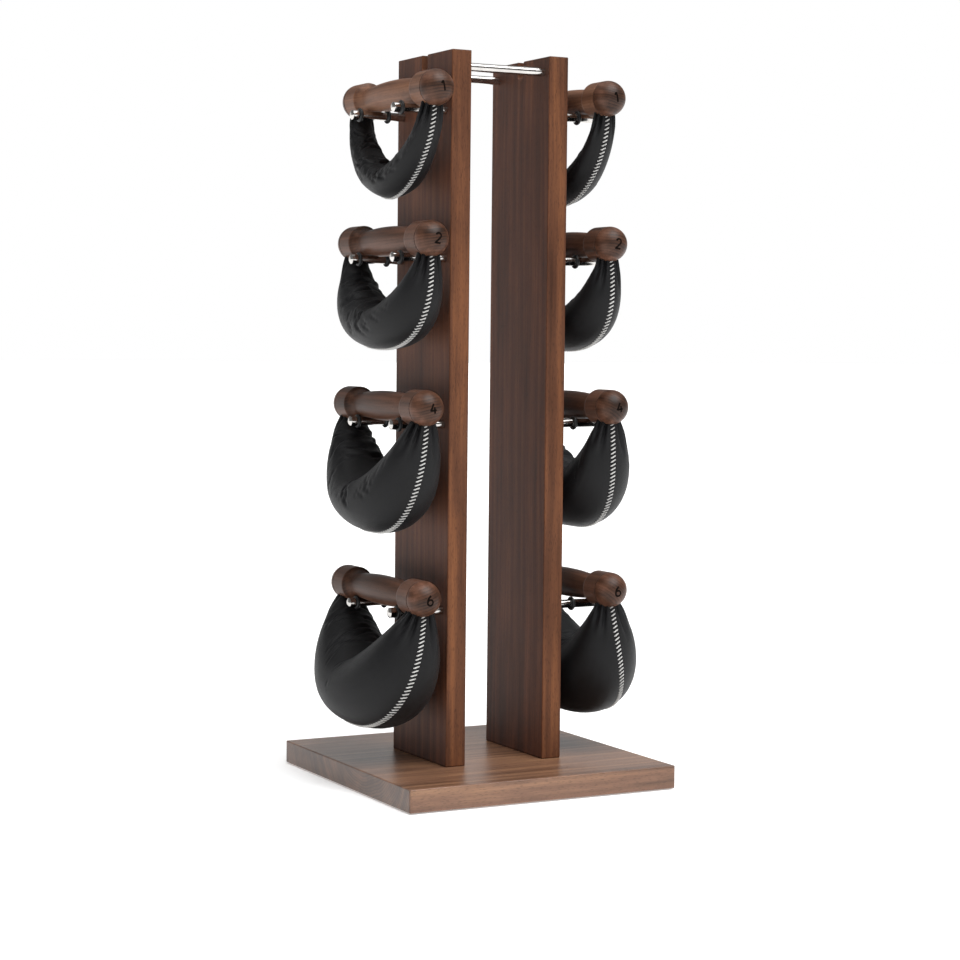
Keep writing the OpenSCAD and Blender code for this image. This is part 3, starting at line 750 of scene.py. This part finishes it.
# Blender's cloth with air pressure inside and no gravity, held at the necks; a point moves no further than
# the cap.
def inflate(rings):
    rows, columns = rings.shape[:2]
    shell = outwardShell(*tubeShell(rings))
    bladder = makeMesh("bladder", shell)
    pinned = bladder.vertex_groups.new(name="necks")
    heldRows = bags["heldRows"]
    held = np.r_[:heldRows * columns, (rows - heldRows) * columns:rows * columns + 2]
    pinned.add(held.tolist(), 1.0, "REPLACE")
    cloth = bladder.modifiers.new("air", "CLOTH")
    for key, value in bags["cloth"].items():
        setattr(cloth.settings, key, value)
    cloth.settings.effector_weights.gravity = 0
    cloth.collision_settings.use_collision = False
    cloth.point_cache.frame_end = bags["frames"]
    for step in range(bags["frames"] + 1):
        scene.frame_set(step)
    bpy.context.view_layer.update()
    evaluated = bladder.evaluated_get(bpy.context.evaluated_depsgraph_get())
    moved = np.empty(len(evaluated.data.vertices) * 3, np.float32)
    evaluated.data.vertices.foreach_get("co", moved)
    moved = moved.reshape(-1, 3)[:rows * columns].reshape(rows, columns, 3).astype(float)
    bpy.data.objects.remove(bladder)
    scene.frame_set(1)
    shift = moved - rings
    row = np.arange(rows)
    shift *= smoothStep((np.minimum(row, rows - 1 - row) - heldRows) / bags["fadeRows"])[:, None, None]
    length = np.linalg.norm(shift, axis=-1, keepdims=True)
    print("  cloth moved points by up to %.1f mm, mean %.2f mm" % (length.max() / mm, length.mean() / mm))
    return rings + shift * np.minimum(1, bags["cap"] / np.maximum(length, 1e-9))


# Weights that carry values on an even grid to a finer one along a Catmull-Rom curve
def resampling(fine, coarse, closed):
    place = np.linspace(0, coarse if closed else coarse - 1, fine, endpoint=not closed)
    base = np.minimum(np.floor(place).astype(int), coarse - 1 if closed else coarse - 2)
    t = place - base
    weights = np.zeros((fine, coarse))
    shares = [(-t + 2 * t ** 2 - t ** 3) / 2, (2 - 5 * t ** 2 + 3 * t ** 3) / 2,
              (t + 4 * t ** 2 - 3 * t ** 3) / 2, (-t ** 2 + t ** 3) / 2]
    for offset, share in zip((-1, 0, 1, 2), shares):
        column = (base + offset) % coarse if closed else np.clip(base + offset, 0, coarse - 1)
        np.add.at(weights, (np.arange(fine), column), share)
    return weights


# Outward unit normals of a closed grid, each the cross product of the surface's two directions there
def gridNormals(points):
    alongRows = np.gradient(points, axis=0)
    aroundRows = (np.roll(points, -1, 1) - np.roll(points, 1, 1)) / 2
    normal = np.cross(aroundRows, alongRows)
    normal /= np.maximum(np.linalg.norm(normal, axis=-1, keepdims=True), 1e-12)
    fromMiddle = points - points.mean(1, keepdims=True)
    return normal * np.sign((fromMiddle * normal).sum(-1).mean())


# How far each point of a bag moves out along its normal. Pleats run down from each neck, widen and fade
# out; each is a bell-shaped valley between two low ridges. Wrinkles are narrower valleys that cross the
# inside of the bend, where the leather is squeezed. A shallow valley marks the seam.
def creases(points, seed):
    b = bags
    rng = np.random.default_rng(seed)
    rows, columns = points.shape[:2]
    a = np.linspace(0, 360, columns, endpoint=False)[None]
    middle = points.mean(1)
    steps = np.r_[0, np.cumsum(np.linalg.norm(np.diff(middle, axis=0), axis=1))]
    depth = np.zeros((rows, columns))
    neck = b["shoulder"] - b["neckTop"]
    for distance in (steps - neck, steps[-1] - steps - neck):
        for place, share, width, length in b["pleats"]:
            fanned = b["pleatFan"] * np.sign(place) * np.clip(distance / b["pleatFanLength"], 0, 1)
            centre = place + rng.uniform(-3, 3) + fanned[:, None]
            gap = np.abs((a - centre + 180) % 360 - 180)
            spread = width * (0.65 + 0.6 * np.clip(distance / (length * mm), 0, 1.5))[:, None]
            fade = smoothStep(1 - (distance - 4 * mm) / (length * mm))
            fade = fade * smoothStep((distance + 1 * mm) / (8 * mm))
            reach = b["pleatDepth"] * share * rng.uniform(0.85, 1.15) * fade[:, None]
            depth -= reach * np.exp(-(gap / spread) ** 2)
            depth += 0.35 * reach * np.exp(-((gap - 1.9 * spread) / spread) ** 2)
    fromSeam = (a + 180) % 360 - 180                  # degrees round from the seam, -180 to 180
    inward = np.abs(fromSeam)                         # 0 at the seam, 180 on the inside of the bend
    for k in range(b["wrinkles"]):
        place = steps[-1] * rng.uniform(0.56, 0.86) if k % 3 else steps[-1] * rng.uniform(0.16, 0.5)
        slope = rng.uniform(-0.3, 0.3) * mm
        bend = rng.uniform(-0.004, 0.004) * mm
        width = rng.uniform(1.8, 5.0) * mm
        reach = rng.uniform(88, 128) if k % 3 else rng.uniform(130, 160)
        cheek = rng.choice((-1, 1))
        window = smoothStep((inward - reach) / 28) * smoothStep((fromSeam * cheek + 165) / 60 + 0.35)
        lift = slope * (180 - inward) * cheek + bend * (180 - inward) ** 2
        gap = (steps[:, None] - place - lift) / width
        strength = b["wrinkleDepth"] * rng.uniform(0.45, 1.0) * window
        depth -= strength * np.exp(-gap ** 2)
        depth += 0.45 * strength * np.exp(-(np.abs(gap) - 1.8) ** 2)
    depth -= b["seamDepth"] * np.exp(-(fromSeam / b["seamWidth"]) ** 2)
    return depth


stitching = {
    "pitch": 4.8 * mm,
    "half": 4.0 * mm,          # from the seam to a hole
    "slant": 1.7 * mm,         # how far a bar's end sits along the seam from its middle
    "radius": 0.85 * mm,
    "margin": 14 * mm,         # bare length at each neck, inside the knob
    "stand": 0.75,             # height of a bar's middle above the leather, as a share of its radius
    "dip": 1.6,                # how far its ends go down from there, as a share of its radius
    "rows": 8,
    "sides": 6,
}


# Values of a grid of points at fractional rows and columns, by straight blending of the four around it
def sample(points, row, column):
    rows, columns = points.shape[:2]
    r0 = np.clip(np.floor(row).astype(int), 0, rows - 2)
    c0 = np.floor(column).astype(int)
    tr, tc = (row - r0)[..., None], (column - c0)[..., None]
    c1 = (c0 + 1) % columns
    c0 = c0 % columns
    upper = points[r0, c0] * (1 - tc) + points[r0, c1] * tc
    lower = points[r0 + 1, c0] * (1 - tc) + points[r0 + 1, c1] * tc
    return upper * (1 - tr) + lower * tr


# Stitches over the seam: each is a thick low tube across it, whose middle line is the leather's surface
# raised by stand - dip * t ** 6, with t from -1 to 1 along the bar, so that both ends dip into their holes.
def stitchShell(points, normals):
    s = stitching
    rows, columns = points.shape[:2]
    seam = points[:, 0]
    length = np.r_[0, np.cumsum(np.linalg.norm(np.diff(seam, axis=0), axis=1))]
    places = np.arange(s["margin"], length[-1] - s["margin"], s["pitch"])
    spacing = np.linalg.norm(np.roll(points, -1, 1) - points, axis=-1)
    perColumn = np.interp(places, length, (spacing[:, 0] + spacing[:, 1] + spacing[:, -1]) / 3)
    t = np.linspace(-1, 1, s["rows"])
    along = places[:, None] - s["slant"] * t[None]
    row = np.interp(along, length, np.arange(rows))
    column = t[None] * s["half"] / perColumn[:, None]
    line = sample(points, row, column)
    outwards = sample(normals, row, column)
    outwards /= np.linalg.norm(outwards, axis=-1, keepdims=True)
    lift = s["stand"] * s["radius"] - s["dip"] * s["radius"] * np.abs(t) ** 6
    line = line + outwards * lift[None, :, None]
    tangent = np.gradient(line, axis=1)
    tangent /= np.linalg.norm(tangent, axis=-1, keepdims=True)
    across = np.cross(tangent, outwards)
    turn = np.linspace(0, 2 * np.pi, s["sides"], endpoint=False)
    thick = s["radius"] * (1 - 0.25 * np.abs(t) ** 4)
    circle = (outwards[:, :, None] * np.cos(turn)[None, None, :, None]
              + across[:, :, None] * np.sin(turn)[None, None, :, None])
    rings = line[:, :, None] + circle * thick[None, :, None, None]
    return joinShells([outwardShell(*tubeShell(ring)) for ring in rings])


# Puts a bag on its dumbbell, with its stitches. On the left X is turned over, so the points then go round
# the other way, and the first column stays on the seam.
def makeBag(side, tier, points):
    name = f"{side}_{tier}"
    placed = points * (1 if side == "right" else -1, 1, 1) + centres[name]
    if side == "left":
        placed = np.roll(placed[:, ::-1], 1, 1)
    piece = makeMesh(name + "_leather", outwardShell(*tubeShell(placed)))
    finishPiece(piece, blackLeather, name + "_dumbbell", [name + "_bag", name + "_shot"])
    piece = makeMesh(name + "_stitches", stitchShell(placed, gridNormals(placed)))
    finishPiece(piece, thread, name + "_dumbbell")


for number, (side, tier) in enumerate((side, tier) for side in sides for tier in tiers):
    size = bagSizes[tier] | (rightBags[tier] if side == "right" else {})
    rings = wholeBag(size, *bags["coarse"])
    rings = inflate(rings)
    alongWeights = resampling(bags["fine"][0], bags["coarse"][0], False)
    aroundWeights = resampling(bags["fine"][1], bags["coarse"][1], True)
    points = np.einsum("ij,jkl->ikl", alongWeights, rings)
    points = np.einsum("mk,ikl->iml", aroundWeights, points)
    points = points + gridNormals(points) * creases(points, 11 + number)[..., None]
    # next to the upright x stays above clear: x = clear + flatten * log(1 + exp((x - clear) / flatten))
    clear = faceX + bags["clearance"] - abs(centres[f"{side}_{tier}"][0])
    points[..., 0] = clear + bags["flatten"] * np.logaddexp(0, (points[..., 0] - clear) / bags["flatten"])
    makeBag(side, tier, points)
    print("bag of the", side, tier, "dumbbell made")


lighting = {
    "fill": 0.19,              # light from all round
    "horizon": 0.9,            # extra light from low down behind the rack
    "frontPower": 3.1,
    "frontSize": 52,           # degrees across; a wide soft source
    "frontPlace": (60, -14),   # height and turn in degrees
    "topPower": 0.8,           # a second soft lamp straight above
    "topSize": 80,
    "topPlace": (90, 0),
    "floorGlow": 0.34,         # light that the floor itself gives
    "floorReach": 40.0,
    "bandSides": (0.35, 0.95),  # where the light from behind begins and is full, as a share towards +Y
    "bandHeights": (0.42, 0.12),  # where it begins and is full on the way down, as a share towards +Z
}


# Lit studio floor: opal white, with a trace of unevenness and a little light of its own
def makeFloor():
    material, tree = newMaterial("floorPaint")
    place = addNode(tree, "TexCoord").outputs["Object"]
    haze = addNode(tree, "TexNoise", {"Vector": place, "Scale": 3.0, "Detail": 2.0})
    colour = addNode(tree, "ValToRGB", {"Fac": haze}, stops=[(0.3, "#f3f3f3"), (0.7, "#f6f6f6")])
    shader = addNode(tree, "BsdfPrincipled", {
        "Base Color": colour, "Roughness": 0.8, "Specular IOR Level": 0.1,
        "Emission Color": (1, 1, 1, 1), "Emission Strength": lighting["floorGlow"]})
    finishMaterial(tree, shader)
    corners = np.array([(-1, -1, 0), (1, -1, 0), (1, 1, 0), (-1, 1, 0)]) * lighting["floorReach"]
    floor = makeMesh("floor", (corners, np.array([[0, 1, 2, 3]]), np.zeros((0, 3), int)))
    floor.data.materials.append(material)


# White all round for the eye, a dimmer white as light with a pale band low down behind, and two wide lamps
def makeLight():
    world = bpy.data.worlds.new("studio")
    scene.world = world
    world.use_nodes = True
    tree = world.node_tree
    tree.nodes.clear()
    direction = addNode(tree, "TexCoord").outputs["Generated"]
    parts = addNode(tree, "SeparateXYZ", {0: direction}).outputs
    begin, full = lighting["bandSides"]
    behind = addNode(tree, "MapRange", {"Value": parts[1], "From Min": begin, "From Max": full},
                     interpolation_type="SMOOTHSTEP")
    begin, full = lighting["bandHeights"]
    low = addNode(tree, "MapRange", {"Value": parts[2], "From Min": begin, "From Max": full},
                  interpolation_type="SMOOTHSTEP")
    band = addNode(tree, "Math", {0: behind, 1: low}, operation="MULTIPLY")
    strength = addNode(tree, "Math", {0: band, 1: lighting["horizon"], 2: lighting["fill"]},
                       operation="MULTIPLY_ADD")
    seen = addNode(tree, "Background", {"Color": (1, 1, 1, 1), "Strength": 1.0})
    light = addNode(tree, "Background", {"Color": (1, 1, 1, 1), "Strength": strength})
    path = addNode(tree, "LightPath")
    mixed = addNode(tree, "MixShader", {"Fac": path.outputs["Is Camera Ray"], 1: light, 2: seen})
    addNode(tree, "OutputWorld", {"Surface": mixed})
    addLamp("frontSoftbox", lighting["frontPower"], lighting["frontSize"], *lighting["frontPlace"])
    addLamp("topSoftbox", lighting["topPower"], lighting["topSize"], *lighting["topPlace"])


# A far lamp at a height and a turn in degrees, as wide as its size in degrees
def addLamp(name, power, size, height, turn):
    lamp = bpy.data.lights.new(name, "SUN")
    lamp.energy = power
    lamp.angle = math.radians(size)
    holder = bpy.data.objects.new(name, lamp)
    scene.collection.objects.link(holder)
    holder.rotation_euler = (math.radians(90 - height), 0, math.radians(-turn))


# Angles in degrees; yaw turns from +Y towards +X
viewCamera = {
    "place": (-1.2838, -2.4163, 0.5234),
    "yaw": 28.02,
    "pitch": -3.525,
    "roll": 0.575,
    "lens": 86.56,
    "sensor": 36,
    "clip": (0.05, 200),
}


# A camera at its place, turned by yaw, tipped by pitch and then rolled about its own axis
def makeCamera():
    c = viewCamera
    yaw, pitch, roll = (math.radians(c[key]) for key in ("yaw", "pitch", "roll"))
    forward = np.array([math.sin(yaw) * math.cos(pitch), math.cos(yaw) * math.cos(pitch), math.sin(pitch)])
    right = np.array([math.cos(yaw), -math.sin(yaw), 0])
    up = np.cross(right, forward)
    turnedRight = math.cos(roll) * right + math.sin(roll) * up
    turnedUp = -math.sin(roll) * right + math.cos(roll) * up
    data = bpy.data.cameras.new("camera")
    data.sensor_width = c["sensor"]
    data.lens = c["lens"]
    data.clip_start, data.clip_end = c["clip"]
    camera = bpy.data.objects.new("camera", data)
    turn = np.stack([turnedRight, turnedUp, -forward], -1)
    camera.matrix_world = Matrix([(*row, place) for row, place in zip(turn, c["place"])] + [(0, 0, 0, 1)])
    scene.collection.objects.link(camera)
    scene.camera = camera


makeFloor()
makeLight()
makeCamera()
scene.view_settings.view_transform = "Standard"
print("floor, light and camera set")

bpy.context.view_layer.update()
